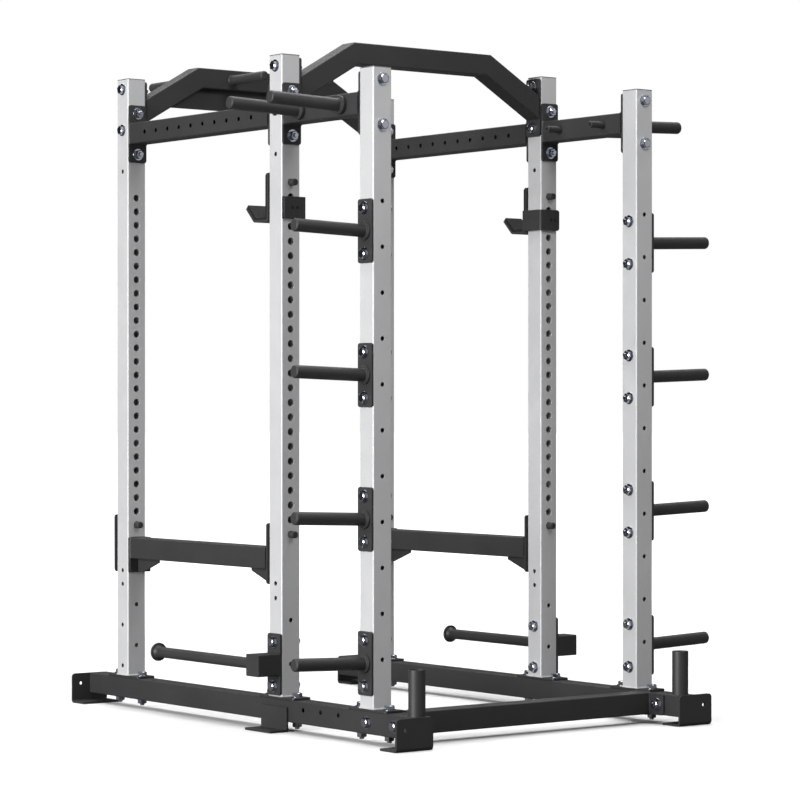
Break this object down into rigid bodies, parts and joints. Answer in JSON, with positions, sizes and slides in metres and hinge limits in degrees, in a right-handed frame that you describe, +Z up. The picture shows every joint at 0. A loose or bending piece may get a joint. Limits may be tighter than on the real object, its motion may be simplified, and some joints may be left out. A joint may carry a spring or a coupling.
{
  "type": "power cage",
  "caption": "Steel power cage with drilled uprights, two arched top bars, grips, hinged bar cups and safety rails, low side bars, storage pegs and upright bar holders",
  "frame": {"origin": "on the floor under the middle of the cage's overall width and depth", "axes": "+X to the right seen from the storage end, +Y toward the front grips and away from the storage end, +Z up"},
  "size_m": [1.8168, 2.002, 2.366],
  "materials": {
    "silver_coat": "light silver powder coat with a fine orange-peel texture",
    "black_coat": "satin black powder coat",
    "black_plastic": "matte black moulded plastic",
    "bolt_zinc": "bright zinc plate on bolts, nuts, washers and screws",
    "cap_plastic": "matte mid-grey moulded plastic caps"
  },
  "bodies": {
    "frame": {"upright_front_left": "silver_coat", "upright_front_right": "silver_coat", "upright_middle_left": "silver_coat", "upright_middle_right": "silver_coat", "upright_rear_left": "silver_coat", "upright_rear_right": "silver_coat", "foot_plate_front_left": "black_coat", "foot_plate_front_right": "black_coat", "foot_plate_middle_left": "black_coat", "foot_plate_middle_right": "black_coat", "foot_plate_rear_left": "black_coat", "foot_plate_rear_right": "black_coat", "base_rail_left": "black_coat", "base_rail_right": "black_coat", "corner_foot_front_left": "black_coat", "corner_foot_front_right": "black_coat", "corner_foot_rear_left": "black_coat", "corner_foot_rear_right": "black_coat", "middle_foot_left": "black_coat", "middle_foot_right": "black_coat", "bar_sleeve_left": "black_coat", "bar_sleeve_right": "black_coat", "side_beam_front_left": "black_coat", "side_beam_front_right": "black_coat", "side_beam_rear_left": "black_coat", "side_beam_rear_right": "black_coat", "grip_rear_left": "black_coat", "grip_rear_right": "black_coat", "grip_front_left": "black_coat", "grip_front_right": "black_coat", "side_bar_left": "black_coat", "side_bar_right": "black_coat", "rear_crossmember": "black_coat", "arch_middle": "black_coat", "arch_front": "black_coat", "sign_panel": "black_coat", "storage_peg_1_left": "black_coat", "storage_peg_1_right": "black_coat", "storage_peg_2_left": "black_coat", "storage_peg_2_right": "black_coat", "storage_peg_3_left": "black_coat", "storage_peg_3_right": "black_coat", "storage_peg_4_left": "black_coat", "storage_peg_4_right": "black_coat", "beam_peg_1_left": "black_coat", "beam_peg_1_right": "black_coat", "beam_peg_2_left": "black_coat", "beam_peg_2_right": "black_coat"},
    "j_cup_left": {"j_cup_hook_left": "black_coat", "j_cup_liner_left": "black_plastic", "j_cup_pad_left": "black_plastic"},
    "j_cup_right": {"j_cup_hook_right": "black_coat", "j_cup_liner_right": "black_plastic", "j_cup_pad_right": "black_plastic"},
    "safety_rail_left": {"safety_bar_left": "black_coat", "safety_pad_front_left": "black_plastic", "safety_pad_middle_left": "black_plastic"},
    "safety_rail_right": {"safety_bar_right": "black_coat", "safety_pad_front_right": "black_plastic", "safety_pad_middle_right": "black_plastic"}
  },
  "joints": [
    {"name": "j_cup_turn_left", "type": "hinge", "parent": "frame", "child": "j_cup_left", "pos_m": [-0.5775, -0.2265, 1.8675], "axis": [0, -1, 0], "range_deg": [0, 90]},
    {"name": "j_cup_turn_right", "type": "hinge", "parent": "frame", "child": "j_cup_right", "pos_m": [0.5775, -0.2265, 1.8675], "axis": [0, 1, 0], "range_deg": [0, 90]},
    {"name": "safety_rail_turn_left", "type": "hinge", "parent": "frame", "child": "safety_rail_left", "pos_m": [-0.5775, 0.261, 0.6675], "axis": [0, -1, 0], "range_deg": [0, 90]},
    {"name": "safety_rail_turn_right", "type": "hinge", "parent": "frame", "child": "safety_rail_right", "pos_m": [0.5775, 0.261, 0.6675], "axis": [0, 1, 0], "range_deg": [0, 90]}
  ]
}
